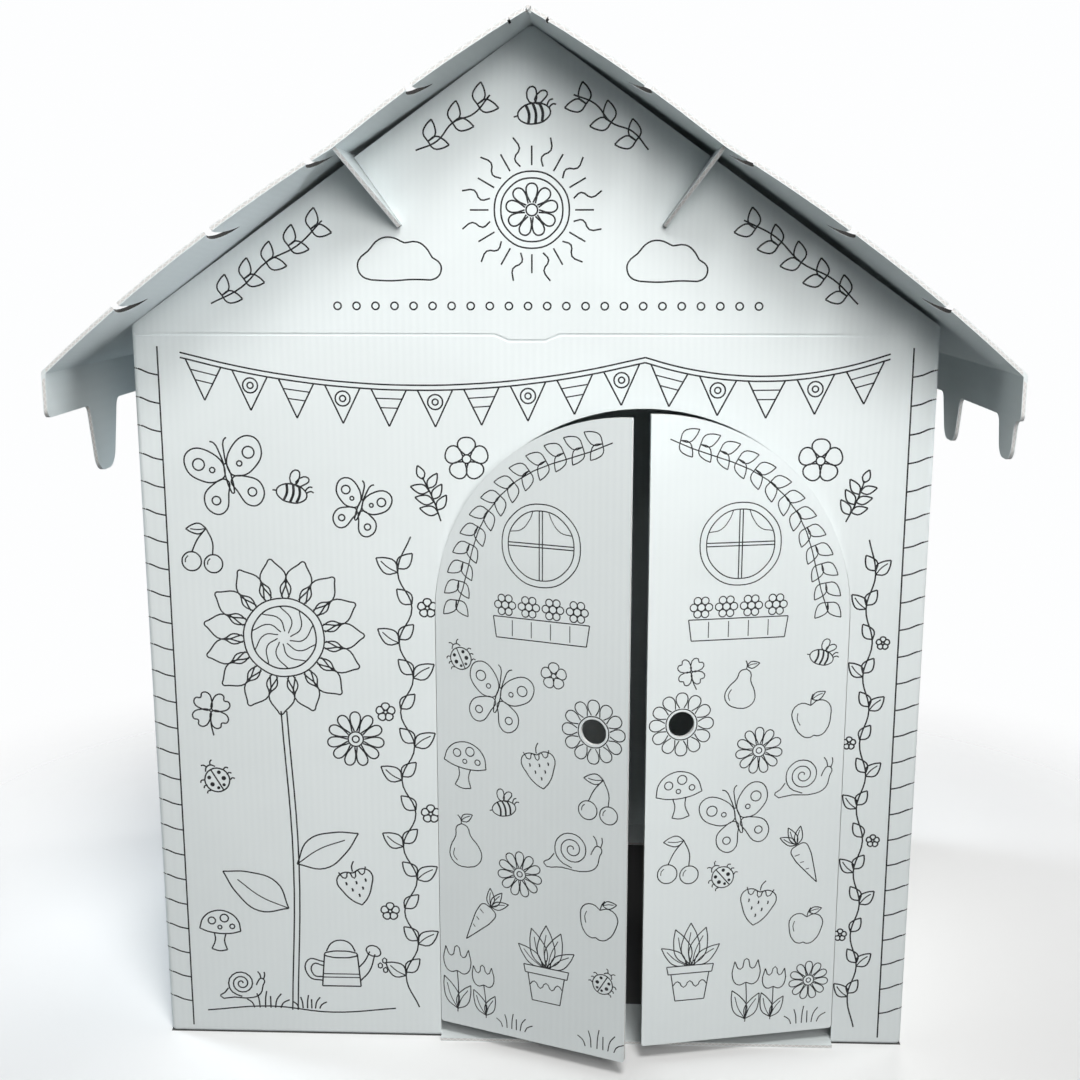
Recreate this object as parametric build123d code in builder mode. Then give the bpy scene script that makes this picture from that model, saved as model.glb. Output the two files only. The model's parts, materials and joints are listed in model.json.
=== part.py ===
import os
from math import cos, radians, sin, tan

from build123d import *

# A folded corrugated-board playhouse: a wall sleeve with two door flaps, and a
# separate roof sheet carried by two loose beams. Millimetres, +Z up, front at -Y.
# The origin is on the floor, at the middle of the footprint.

# Board
board = 4.0                  # thickness of the corrugated board
fold_inside_radius = 1.5     # inside radius of every fold
cut_gap = 0.5                # width of a die cut between a flap and its sheet
slip = 0.4                   # play of a board strip in its slit, each side
overrun = 10.0               # how far a cutting shape runs past what it cuts

# Walls
wall_width = 800.0           # outside, left to right
wall_depth = 580.0           # outside, front to back
eave_height = 772.0          # top of the side walls, at their outer face
gable_tip_radius = 8.0
base_flap_depth = 67.0       # from the wall's outer face
flap_slit = 3.0              # gap between two neighbouring base flaps
lap_width = 36.0             # glued lap inside one corner
lap_end_gap = 12.0           # lap stops short of the base and the eave
crease_height = 764.0        # packing crease across the front and back
crease_width = 3.0
crease_depth = 0.8
crease_tab_middle = -5.0     # small tab where the crease dips, right of the middle
crease_tab_width = 64.0
crease_tab_slant = 14.0      # length of each slanting side
crease_tab_drop = 6.0

# Doors
doorway_width = 425.0        # crease to crease
doorway_middle = 112.0       # right of the house's middle
doorway_spring = 479.0       # height where the arch starts
door_foot = 19.0             # underside of the leaves above the floor
door_corner_radius = 3.0
threshold_reach = 10.0       # front base flap, past the wall in the doorway
finger_hole_radius = 13.5
finger_hole_edge = 37.0      # hole centre to the leaf's free edge
finger_hole_height = 375.0
crease_axis_out = 0.4        # door crease axis in front of the wall's face
left_door_open = 21.0        # degrees, as the leaves stand ajar
right_door_open = 12.0       # degrees

# Roof
roof_pitch = 35.3            # degrees
rest_lift = 6.3              # rise of each slope over its chord, where it lies on its beam
rest_radius = 60.0           # how softly the sheet bends over the beam
upper_bow = 4.0              # bow of the sheet between the ridge and the beam
lower_bow = 9.0              # bow of the sheet between the beam and the eave
rake_overhang = 80.0         # past the front and back walls
eave_overhang = 62.0         # past the side walls, level
valance_depth = 44.0         # plain band that hangs from the eave fold
valance_corner_radius = 8.0
drip_root_radius = 10.0
drip_tip_round_share = 0.46  # tip radius over the tip's width
# Each drip of the right valance, from the front: its place over the roof's length,
# its root and tip over the drip width, and its drop over the longest drop.
drip_width = 84.0
drip_drop = 72.0
drip_shares = [
    (0.060, 0.62, 0.42, 0.56),
    (0.345, 0.88, 0.50, 0.70),
    (0.565, 0.72, 0.40, 0.50),
    (0.790, 1.00, 0.56, 1.00),
]

# Crescent tile cuts along the rakes, placed on a plane raised straight up from the slope,
# so each lands roof_clear * tan(pitch) further up the slope than its named place
tile_first = 125.5           # first cut, down that plane from its top
tile_pitch = 113.6
tile_count = 4
tile_mouth = 12.0            # width where the cut meets the rake
tile_tail = 17.0             # how far the tail runs up the slope
tile_reach = 40.0            # how far the tail runs in from the rake
tile_lower_sag = 12.0        # bow of the cut's lower side
tile_upper_sag = 4.7
ridge_nick_place = 22.0      # small nick by the ridge, placed the same way
ridge_nick_depth = 14.0
ridge_nick_width = 2.5

# Roof beams
beam_station = 213.0         # down the slope from the ridge
beam_depth = 78.0            # square to the slope
beam_setback = 3.0           # top corner behind the roof's edge
beam_foot_reach = 6.0        # bottom corner in front of the wall

# Worked out
pitch = radians(roof_pitch)
front_face = -wall_depth / 2
half_width = wall_width / 2
fold_outside_radius = fold_inside_radius + board
ridge_height = eave_height + half_width * tan(pitch)
board_rise = board / cos(pitch)
eave_reach = half_width + eave_overhang
eave_fold_height = eave_height - eave_overhang * tan(pitch) + board_rise
valance_edge_height = eave_fold_height - valance_depth
roof_length = wall_depth + 2 * rake_overhang
ridge_top = ridge_height + board_rise
rest_reach = beam_station * cos(pitch) + rest_lift * sin(pitch)
rest_height = ridge_top - beam_station * sin(pitch) + rest_lift * cos(pitch)
roof_clear = rest_lift + lower_bow + overrun
arch_radius = doorway_width / 2
clear_top = ridge_top + overrun

os.makedirs("parts", exist_ok=True)


def slope_plane(side, height):
    """Plane on one slope (side 1 is right): x runs down the slope, z out of the roof."""
    return Plane(
        origin=(0, 0, height),
        x_dir=(side * cos(pitch), 0, -sin(pitch)),
        z_dir=(side * sin(pitch), 0, cos(pitch)),
    )


# Wall sleeve: ring of walls and base flaps, then the rakes, slits and doorway
with BuildPart() as wall_sleeve:
    with BuildSketch():
        RectangleRounded(wall_width, wall_depth, fold_outside_radius)
        RectangleRounded(
            wall_width - 2 * board, wall_depth - 2 * board, fold_inside_radius, mode=Mode.SUBTRACT
        )
    extrude(amount=clear_top)

    # Base flaps: a flat frame, later slit at its corners
    with BuildSketch():
        RectangleRounded(wall_width, wall_depth, fold_outside_radius)
        Rectangle(
            wall_width - 2 * base_flap_depth, wall_depth - 2 * base_flap_depth, mode=Mode.SUBTRACT
        )
    extrude(amount=board)
    floor_face = wall_sleeve.faces().sort_by(Axis.Z)[0]
    fillet(floor_face.outer_wire().edges(), radius=board)

    # Diagonal slits that part the flaps
    mitre_angle = 45
    slit_length = 2 * base_flap_depth
    with BuildSketch():
        for x_side in (1, -1):
            for y_side in (1, -1):
                corner = (x_side * (half_width - base_flap_depth), y_side * (-front_face - base_flap_depth))
                with Locations(Location(corner, x_side * y_side * mitre_angle)):
                    with Locations((x_side * base_flap_depth / 2, 0)):
                        Rectangle(slit_length, flap_slit)
    extrude(amount=board, mode=Mode.SUBTRACT)

    # Everything above the rakes is cut away, and the gables' tips are rounded
    with BuildSketch(Plane.XZ) as above_rakes:
        with BuildLine():
            Polyline(
                (-eave_reach, eave_height - eave_overhang * tan(pitch)),
                (0, ridge_height),
                (eave_reach, eave_height - eave_overhang * tan(pitch)),
                (eave_reach, clear_top + overrun),
                (-eave_reach, clear_top + overrun),
                close=True,
            )
        make_face()
        fillet(above_rakes.vertices().sort_by_distance((0, ridge_height))[0], radius=gable_tip_radius)
    extrude(amount=wall_depth, both=True, mode=Mode.SUBTRACT)

    # Slits for the beams, square to the rakes
    for side in (1, -1):
        with BuildSketch(Plane.XZ):
            station = (side * beam_station * cos(pitch), ridge_height - beam_station * sin(pitch))
            with Locations(Location(station, -side * roof_pitch)):
                with Locations((0, (overrun - beam_depth - slip) / 2)):
                    Rectangle(board + 2 * slip, beam_depth + slip + overrun)
        extrude(amount=wall_depth, both=True, mode=Mode.SUBTRACT)

    # Doorway, down to the top of the front base flap
    with BuildSketch(Plane.XZ.offset(-front_face + overrun)):
        with Locations((doorway_middle, doorway_spring)):
            Circle(arch_radius)
        with Locations((doorway_middle, (doorway_spring + board) / 2)):
            Rectangle(doorway_width, doorway_spring - board)
    extrude(amount=-(overrun + base_flap_depth), mode=Mode.SUBTRACT)

    # Threshold: the front flap runs out flat through the doorway
    with BuildSketch():
        with Locations((doorway_middle, front_face + (board * 2 - threshold_reach) / 2)):
            Rectangle(doorway_width - 2 * cut_gap, threshold_reach + 2 * board)
    extrude(amount=board)

    # Packing creases, pressed into the front and back below the gables, with a tab in each
    tab_start = crease_tab_middle - crease_tab_width / 2
    tab_end = crease_tab_middle + crease_tab_width / 2
    for face in (Plane.XZ.offset(-front_face), Plane.XZ.offset(front_face).rotated((0, 180, 0))):
        with BuildSketch(face):
            with BuildLine():
                Polyline(
                    (-half_width, crease_height),
                    (tab_start, crease_height),
                    (tab_start + crease_tab_slant, crease_height - crease_tab_drop),
                    (tab_end - crease_tab_slant, crease_height - crease_tab_drop),
                    (tab_end, crease_height),
                    (half_width, crease_height),
                )
            trace(line_width=crease_width)
        extrude(amount=-crease_depth, mode=Mode.SUBTRACT)

    # Glued lap, a tongue of the back wall on the inside of the left wall
    lap_foot = board + lap_end_gap
    lap_top = eave_height - lap_end_gap - board
    lap_root = -front_face - board
    with BuildSketch(Plane.YZ.offset(-half_width + board)):
        with BuildLine():
            Polyline(
                (lap_root, lap_foot),
                (lap_root, lap_top),
                (lap_root - lap_width, lap_top - lap_width / 2),
                (lap_root - lap_width, lap_foot + lap_width / 2),
                close=True,
            )
        make_face()
    extrude(amount=board)
wall_sleeve.part.label = "wall_sleeve"
export_step(wall_sleeve.part, "parts/wall_sleeve.step")


def door_leaf(side, hinge_x, turn):
    """One leaf; side 1 runs right from its crease, turn is its angle about +Z at rest."""
    swing = radians(turn)
    crease = Plane(
        origin=(hinge_x, front_face - crease_axis_out, 0),
        x_dir=(cos(swing), sin(swing), 0),
        z_dir=(sin(swing), -cos(swing), 0),
    )
    leaf_height = doorway_spring + arch_radius - door_foot
    with BuildPart() as leaf:
        with BuildSketch(crease.offset(-crease_axis_out)) as outline:
            with Locations((side * arch_radius, doorway_spring)):
                Circle(arch_radius - cut_gap)
            with Locations((side * arch_radius, (doorway_spring + door_foot) / 2)):
                Rectangle(doorway_width - 2 * cut_gap, doorway_spring - door_foot)
            with Locations((side * arch_radius / 2, door_foot + leaf_height / 2)):
                Rectangle(arch_radius - 2 * cut_gap, leaf_height, mode=Mode.INTERSECT)
            fillet(outline.vertices().group_by(Axis.Y)[0], radius=door_corner_radius)
            with Locations((side * (arch_radius - finger_hole_edge), finger_hole_height)):
                Circle(finger_hole_radius, mode=Mode.SUBTRACT)
        extrude(amount=-board)
    return leaf


# Door leaves, standing ajar as in use
left_door = door_leaf(1, doorway_middle - arch_radius, -left_door_open)
left_door.part.label = "left_door"
export_step(left_door.part, "parts/left_door.step")

right_door = door_leaf(-1, doorway_middle + arch_radius, right_door_open)
right_door.part.label = "right_door"
export_step(right_door.part, "parts/right_door.step")


def tile_cut(station, end):
    """Crescent from the rake at one end of the roof, its tail curling up the slope."""
    rim = end * roof_length / 2
    past = rim + end * overrun
    lower = station + tile_mouth / 2
    upper = station - tile_mouth / 2
    tip = (station - tile_tail, rim - end * tile_reach)
    with BuildSketch() as crescent:
        with BuildLine():
            Polyline((upper, rim), (upper, past), (lower, past), (lower, rim))
            SagittaArc((lower, rim), tip, end * tile_lower_sag)
            SagittaArc(tip, (upper, rim), -end * tile_upper_sag)
        make_face()
    return crescent.sketch


def drip_face(middle, root, tip, foot):
    """One round-ended drip, with a peak that joins it to the valance's band."""
    with BuildSketch() as drip:
        with BuildLine():
            Polyline(
                (middle - root / 2, valance_edge_height),
                (middle - tip / 2, foot),
                (middle + tip / 2, foot),
                (middle + root / 2, valance_edge_height),
                (middle, valance_edge_height + valance_corner_radius),
                close=True,
            )
        make_face()
        fillet(drip.vertices().group_by(Axis.Y)[0], radius=tip * drip_tip_round_share)
    return drip.sketch


# Roof: one sheet folded at the ridge and at both eaves, and bowed between these and the beams
with BuildPart() as roof:
    with BuildSketch(Plane.XZ) as section:
        with BuildLine():
            hang_end = valance_edge_height + valance_depth / 2
            Line((-eave_reach, hang_end), (-eave_reach, eave_fold_height))
            SagittaArc((-eave_reach, eave_fold_height), (-rest_reach, rest_height), lower_bow)
            SagittaArc((-rest_reach, rest_height), (0, ridge_top), upper_bow)
            SagittaArc((0, ridge_top), (rest_reach, rest_height), upper_bow)
            SagittaArc((rest_reach, rest_height), (eave_reach, eave_fold_height), lower_bow)
            Line((eave_reach, eave_fold_height), (eave_reach, hang_end))
            offset(amount=board, side=Side.RIGHT, kind=Kind.INTERSECTION)
        make_face()
        for reach, height, outside_radius, inside_radius in (
            (0, ridge_top, fold_outside_radius, fold_inside_radius),
            (rest_reach, rest_height, rest_radius, rest_radius + board),
            (-rest_reach, rest_height, rest_radius, rest_radius + board),
            (eave_reach, eave_fold_height, fold_outside_radius, fold_inside_radius),
            (-eave_reach, eave_fold_height, fold_outside_radius, fold_inside_radius),
        ):
            fillet(section.vertices().sort_by_distance((reach, height))[1], radius=inside_radius)
            fillet(section.vertices().sort_by_distance((reach, height))[0], radius=outside_radius)
    extrude(amount=roof_length / 2, both=True)

    # Valances: the left one is the right one turned half round
    band_top = eave_fold_height - fold_outside_radius
    for side in (1, -1):
        with BuildSketch(Plane.YZ.offset(side * eave_reach)) as valance:
            with Locations((0, (band_top + valance_edge_height) / 2)):
                Rectangle(roof_length, band_top - valance_edge_height)
            fillet(valance.vertices().group_by(Axis.Y)[0], radius=valance_corner_radius)
            for place_share, root_share, tip_share, drop_share in drip_shares:
                middle = side * (place_share * roof_length - roof_length / 2)
                foot = valance_edge_height - drip_drop * drop_share
                add(drip_face(middle, drip_width * root_share, drip_width * tip_share, foot))
            near_edge = (valance_edge_height - slip, valance_edge_height + slip)
            edge_points = valance.vertices().filter_by_position(Axis.Y, *near_edge)
            fillet(edge_points.sort_by(Axis.X)[1:-1], radius=drip_root_radius)
        extrude(amount=-side * board)

    # Tile cuts and ridge nicks, through both rakes of each slope
    for side in (1, -1):
        for end in (1, -1):
            with BuildSketch(slope_plane(side, ridge_top + roof_clear / cos(pitch))):
                for tile in range(tile_count):
                    add(tile_cut(tile_first + tile * tile_pitch, end))
                with Locations((ridge_nick_place, end * (roof_length + overrun - ridge_nick_depth) / 2)):
                    Rectangle(ridge_nick_width, ridge_nick_depth + overrun)
            extrude(amount=-(roof_clear + board + overrun), mode=Mode.SUBTRACT)
roof.part.label = "roof"
export_step(roof.part, "parts/roof.step")


def roof_beam(side):
    """Strip under one slope, on edge and square to it, its ends raked back to the walls."""
    station = (side * beam_station * cos(pitch), 0, ridge_height - beam_station * sin(pitch))
    strip = Plane(
        origin=station, x_dir=(0, side, 0), z_dir=(side * cos(pitch), 0, -sin(pitch))
    )
    top_half = roof_length / 2 - beam_setback
    foot_half = wall_depth / 2 + beam_foot_reach
    with BuildPart() as beam:
        with BuildSketch(strip):
            with BuildLine():
                Polyline(
                    (-top_half, rest_lift),
                    (top_half, rest_lift),
                    (foot_half, -beam_depth),
                    (-foot_half, -beam_depth),
                    close=True,
                )
            make_face()
        extrude(amount=board / 2, both=True)
    return beam


left_roof_beam = roof_beam(-1)
left_roof_beam.part.label = "left_roof_beam"
export_step(left_roof_beam.part, "parts/left_roof_beam.step")

right_roof_beam = roof_beam(1)
right_roof_beam.part.label = "right_roof_beam"
export_step(right_roof_beam.part, "parts/right_roof_beam.step")
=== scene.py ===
import json
from functools import partialmethod
from math import ceil, copysign, cos, dist, pi, radians, sin, sqrt, tan

import bpy
from mathutils import Euler, Matrix, Vector


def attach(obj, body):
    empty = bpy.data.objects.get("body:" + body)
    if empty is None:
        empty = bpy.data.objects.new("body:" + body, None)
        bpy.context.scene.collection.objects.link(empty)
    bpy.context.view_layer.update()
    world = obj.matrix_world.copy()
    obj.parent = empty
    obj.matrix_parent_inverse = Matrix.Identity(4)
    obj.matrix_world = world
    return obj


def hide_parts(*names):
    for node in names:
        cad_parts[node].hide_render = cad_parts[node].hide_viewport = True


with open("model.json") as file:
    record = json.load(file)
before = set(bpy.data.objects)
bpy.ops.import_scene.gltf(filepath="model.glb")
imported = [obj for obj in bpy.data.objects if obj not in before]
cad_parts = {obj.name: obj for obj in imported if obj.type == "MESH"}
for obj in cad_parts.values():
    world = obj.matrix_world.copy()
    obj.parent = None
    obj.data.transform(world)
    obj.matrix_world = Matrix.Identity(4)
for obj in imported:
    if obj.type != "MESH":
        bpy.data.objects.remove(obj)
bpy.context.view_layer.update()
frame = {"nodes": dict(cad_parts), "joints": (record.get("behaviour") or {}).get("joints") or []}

# Sizes of the house that the looks are laid out on, in metres
house = {
    "halfWidth": 0.400, "frontY": -0.290, "board": 0.004, "foldRadius": 0.0055,
    "eaveZ": 0.772, "creaseZ": 0.764, "pitch": radians(35.3), "eaveOut": 0.062, "rakeOut": 0.080,
    "doorMiddle": 0.112, "archRadius": 0.2125, "archSpring": 0.479, "axisOut": 0.0004,
    "beamAlong": 0.213, "restLift": 0.0063, "upperBow": 0.004, "lowerBow": 0.009,
}
board = house["board"]
pitchSine, pitchCosine = sin(house["pitch"]), cos(house["pitch"])
ridgeZ = house["eaveZ"] + house["halfWidth"] * tan(house["pitch"])
boardRise = board / pitchCosine
roofHalfLength = -house["frontY"] + house["rakeOut"]
eaveReach = house["halfWidth"] + house["eaveOut"]
slopeLength = eaveReach / pitchCosine
joints = {joint["name"]: joint for joint in frame["joints"]}
leftHinge = joints["left_door_crease"]
rightHinge = joints["right_door_crease"]
leftOpen = radians(-leftHinge["range_deg"][0])
rightOpen = radians(-rightHinge["range_deg"][0])
bothSides = (("left", -1), ("right", 1))
perMetre = 1000  # the print is laid out in millimetres
print("frame loaded:", len(frame["nodes"]), "nodes")


def bowCircle(start, end, bow):  # centre and radius of a bow, in (down the slope, out of it)
    run = dist(start, end)
    along, rise = (end[0] - start[0]) / run, (end[1] - start[1]) / run
    radius = (run * run / 4 + bow * bow) / (2 * bow)
    middle = ((start[0] + end[0]) / 2, (start[1] + end[1]) / 2)
    return middle[0] + rise * (radius - bow), middle[1] - along * (radius - bow), radius


beamRest = (house["beamAlong"], house["restLift"])
upperCircle = bowCircle((0, 0), beamRest, house["upperBow"])
lowerCircle = bowCircle(beamRest, (slopeLength, 0), house["lowerBow"])


# Shader maths

class Wire:
    def __init__(self, shader, socket):
        self.shader = shader
        self.socket = socket

    def maths(self, operation, other=None, swap=False):
        first, second = (other, self) if swap else (self, other)
        inputs = {0: first} if second is None else {0: first, 1: second}
        return self.shader.node("ShaderNodeMath", {"operation": operation}, inputs)

    __add__ = __radd__ = partialmethod(maths, "ADD")
    __sub__ = partialmethod(maths, "SUBTRACT")
    __rsub__ = partialmethod(maths, "SUBTRACT", swap=True)
    __mul__ = __rmul__ = partialmethod(maths, "MULTIPLY")
    __lt__ = partialmethod(maths, "LESS_THAN")
    __gt__ = partialmethod(maths, "GREATER_THAN")
    __abs__ = partialmethod(maths, "ABSOLUTE")
    sine = partialmethod(maths, "SINE")
    root = partialmethod(maths, "SQRT")
    most = partialmethod(maths, "MAXIMUM")

    def ramp(self, low, high, toLow=0.0, toHigh=1.0):
        settings = {"interpolation_type": "SMOOTHSTEP"}
        inputs = {"Value": self, "From Min": low, "From Max": high, "To Min": toLow, "To Max": toHigh}
        return self.shader.node("ShaderNodeMapRange", settings, inputs)


class Shader:
    def __init__(self, name, placeAttribute=None):
        self.material = bpy.data.materials.new(name)
        self.material.use_nodes = True
        self.tree = self.material.node_tree
        self.surface = self.tree.nodes["Principled BSDF"]
        if placeAttribute:
            self.point = self.node("ShaderNodeAttribute", {"attribute_name": placeAttribute}, None, "Vector")
        else:
            self.point = self.node("ShaderNodeTexCoord", None, None, "Object")
        parts = self.node("ShaderNodeSeparateXYZ", None, {0: self.point}).socket.node
        self.x, self.y, self.z = (Wire(self, out) for out in parts.outputs)

    def node(self, kind, settings=None, inputs=None, output=0):
        made = self.tree.nodes.new(kind)
        for key, value in (settings or {}).items():
            setattr(made, key, value)
        for key, value in (inputs or {}).items():
            self.feed(made.inputs[key], value)
        return Wire(self, made.outputs[output])

    def feed(self, socket, value):
        if isinstance(value, Wire):
            self.tree.links.new(value.socket, socket)
        else:
            socket.default_value = value

    def noise(self, scale, detail, point=None):
        return self.node("ShaderNodeTexNoise", None,
                         {"Vector": point or self.point, "Scale": scale, "Detail": detail})

    def mix(self, factor, first, second):
        settings = {"data_type": "RGBA"}
        return self.node("ShaderNodeMix", settings, {0: factor, 6: first, 7: second}, 2)

    def finish(self, colour, roughness, height, bumpSize, specular=0.3):
        inputs = self.surface.inputs
        self.feed(inputs["Base Color"], colour)
        self.feed(inputs["Roughness"], roughness)
        self.feed(inputs["Specular IOR Level"], specular)
        bump = self.node("ShaderNodeBump", None, {"Strength": 1.0, "Distance": bumpSize, "Height": height})
        self.feed(inputs["Normal"], bump)
        return self.material


# White-faced corrugated board: liner with faint flutes, greyer core with a paler wave at cut edges, and
# painted shade on the walls of the roof's tile cuts

boardLook = {
    "liner": (0.80, 0.855, 0.865, 1),
    "linerDull": (0.70, 0.755, 0.765, 1),
    "core": (0.70, 0.695, 0.685, 1),
    "medium": (0.84, 0.84, 0.835, 1),
    # painted shade: near-black colour on the walls of the roof's rake cuts and nicks, standing in for the
    # shade inside the slits
    "cutWallShade": (0.045, 0.044, 0.043, 1),
    "flutePitch": 0.0072,
    "linerSkin": 0.0006,
    "mediumHalf": 0.00032,
    "mediumSoft": 2.2,  # where the medium's soft edge ends, in half widths
    "waveShare": 0.9,
    "mottle": (9.0, 4.0), "fibre": (620.0, 2.0), "speck": (1900.0, 1.0), "dents": (5.0, 2.0),  # noise
    "fibreStretch": (1.0, 1.0, 0.35),
    "dulling": (0.22, 0.10, 0.04, 0.25),  # by mottle, fibre, flutes and specks
    "roughness": (0.52, 0.16, 0.1),  # even, by mottle and by fibre
    "relief": (0.55, 0.5, 6.0),  # of flutes, fibre and dents
    "bump": 0.00006,
}
coreEdge = {  # how near folds and rims the core shows
    "corner": 1.6 * board, "flap": 1.2 * board, "crease": 1.8 * board, "creaseDrop": 0.003, "sill": -0.0005,
    # liner: how far either side of mid-board the painted shade on the roof's cut walls reaches
    "eave": 1.2 * board, "valance": 1.6 * board, "rake": 0.0006, "liner": board / 2 - 0.0002,
}
fluteTurn = 2 * pi / boardLook["flutePitch"]


def boardCore(depth, along, where=1.0):
    half = board / 2
    skin = half - boardLook["linerSkin"]
    inside = (abs(depth - half) < skin) * where
    wave = half + skin * boardLook["waveShare"] * (along * fluteTurn).sine()
    softEnd = boardLook["mediumHalf"] * boardLook["mediumSoft"]
    medium = abs(depth - wave).ramp(boardLook["mediumHalf"], softEnd, 1.0, 0.0)
    return inside, medium


def boardSurface(shader, layers, across, cutWallShade=None):
    mottle = shader.noise(*boardLook["mottle"])
    stretch = {"Vector": shader.point, "Scale": boardLook["fibreStretch"]}
    fibre = shader.noise(*boardLook["fibre"], shader.node("ShaderNodeMapping", None, stretch))
    speck = shader.noise(*boardLook["speck"]).ramp(0.66, 0.74)
    ghost = (across * fluteTurn).sine()
    byMottle, byFibre, byGhost, bySpeck = boardLook["dulling"]
    dull = byMottle * mottle.ramp(0.35, 0.7) + byFibre * fibre + byGhost * ghost + bySpeck * speck
    colour = shader.mix(dull, boardLook["liner"], boardLook["linerDull"])
    for inside, medium in layers:
        cutColour = shader.mix(medium, boardLook["core"], boardLook["medium"])
        colour = shader.mix(inside, colour, cutColour)
    # painted shade: the cut walls are laid over with a near-black colour
    if cutWallShade:
        colour = shader.mix(cutWallShade, colour, boardLook["cutWallShade"])
    even, byMottle, byFibre = boardLook["roughness"]
    roughness = even + byMottle * mottle + byFibre * fibre
    ghostRise, fibreRise, dentRise = boardLook["relief"]
    height = ghostRise * ghost + fibreRise * fibre + dentRise * shader.noise(*boardLook["dents"])
    return shader.finish(colour, roughness, height, boardLook["bump"])


def wallMaterial():
    shader = Shader("wall board")
    outX = house["halfWidth"] - abs(shader.x)
    outY = -house["frontY"] - abs(shader.y)
    offSides, offEnds = outX > coreEdge["corner"], outY > coreEdge["corner"]
    fromCrease = abs(shader.z - house["creaseZ"] + coreEdge["creaseDrop"])
    upright = (shader.z > coreEdge["flap"]) * (fromCrease > coreEdge["crease"])
    across = shader.x + shader.y
    layers = [
        boardCore(outY, shader.x, offSides * upright),
        boardCore(outX, shader.y, offEnds * upright),
        boardCore(shader.z, across, offSides * offEnds),
        boardCore(shader.z, shader.x, outY < coreEdge["sill"]),
    ]
    return boardSurface(shader, layers, across)


warp = {
    "place": "flatPlace",  # attribute that keeps each point's place in the unwarped sheet
    "left": (0.0052, 0.0108),  # most that a slope settles, above its beam and below it
    "right": (0.0030, 0.0065),
    "flareStart": 0.285,
    "loops": (0.285, 0.302, 0.319, 0.336, 0.353),
    "cutSlide": 0.0179,  # the rake cuts lie this much further down the slope than in the solid
    "slideFull": 0.319,
    "slideSpan": (0.030, 0.080, 0.475, 0.555),
    "cutFirst": 0.1076,  # the crescent cuts as they lie in the solid
    "cutPitch": 0.1136,
    "cutCount": 4,
    "cutTail": 0.017,
    "cutReach": 0.040,
    "lipClose": 0.0065,  # each tile droops a little over the cut at its foot
    "nickAlong": 0.022, "nickWide": 0.0025, "nickDeep": 0.014, "nickTall": 0.012,
    "merge": 0.00001, "smooth": 20.0,
}


def bowTop(along):
    middle, level, radius = upperCircle if along < house["beamAlong"] else lowerCircle
    return level + sqrt(radius ** 2 - (along - middle) ** 2)


def settle(along, away, side):  # how far the sheet settles on the walls, where its rims spring up
    if not 0 < along < slopeLength:
        return 0.0
    upper, lower = warp["left" if side < 0 else "right"]
    if along < house["beamAlong"]:
        share, most = along / house["beamAlong"], upper
    else:
        share, most = (along - house["beamAlong"]) / (slopeLength - house["beamAlong"]), lower
    spring = (away - warp["flareStart"]) / (roofHalfLength - warp["flareStart"])
    spring = max(0.0, min(1.0, spring))
    return 4 * most * share * (1 - share) * (1 - 0.5 * (spring + spring * spring))


def droop(along, away):  # how far a tile's lip comes down over its cut
    out = (away - roofHalfLength) / warp["cutReach"] + 1
    if out <= 0:
        return 0.0
    row = (along - warp["cutFirst"] + warp["cutTail"] * (1 - out) ** 3) / warp["cutPitch"] + 1
    return warp["lipClose"] * out * (row % 1) if 0 < row < warp["cutCount"] else 0.0


def slide(along, away):  # how far a point by the rakes moves down the slope
    start, full, ease, stop = warp["slideSpan"]
    down = min((along - start) / (full - start), 1.0, (stop - along) / (stop - ease))
    out = min((away - warp["flareStart"]) / (warp["slideFull"] - warp["flareStart"]), 1.0)
    return max(0.0, down) * (warp["cutSlide"] * max(0.0, out) + droop(along, away))


def slopePoint(side, along, over, y):
    height = ridgeZ + boardRise - along * pitchSine + over * pitchCosine
    return Vector((side * (along * pitchCosine + over * pitchSine), y, height))


def slopeSpace(x, z):  # down the slope and out of it, for numbers and for wires
    reach, drop = abs(x), ridgeZ + boardRise - z
    return reach * pitchCosine + drop * pitchSine, reach * pitchSine - drop * pitchCosine


def makeNicks(sheet):
    bpy.ops.object.select_all(action="DESELECT")
    nicks = []
    for side in (-1, 1):
        for end in (-1, 1):
            over = bowTop(warp["nickAlong"]) - board / 2
            place = slopePoint(side, warp["nickAlong"], over, end * roofHalfLength)
            bpy.ops.mesh.primitive_cube_add(size=1, location=place, rotation=(0, side * house["pitch"], 0))
            nick = bpy.context.active_object
            nick.scale = (warp["nickWide"], 2 * warp["nickDeep"], warp["nickTall"])
            nicks.append(nick)
    for nick in nicks:
        nick.select_set(True)
    bpy.ops.object.join()
    cutter = bpy.context.active_object
    bpy.ops.object.transform_apply(location=True, rotation=True, scale=True)
    bpy.context.view_layer.objects.active = sheet
    bpy.ops.object.modifier_add(type="BOOLEAN")
    cut = sheet.modifiers[-1]
    cut.operation = "DIFFERENCE"
    cut.solver = "EXACT"
    cut.object = cutter
    bpy.ops.object.modifier_apply(modifier=cut.name)
    bpy.ops.object.select_all(action="DESELECT")
    cutter.select_set(True)
    bpy.ops.object.delete()


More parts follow.
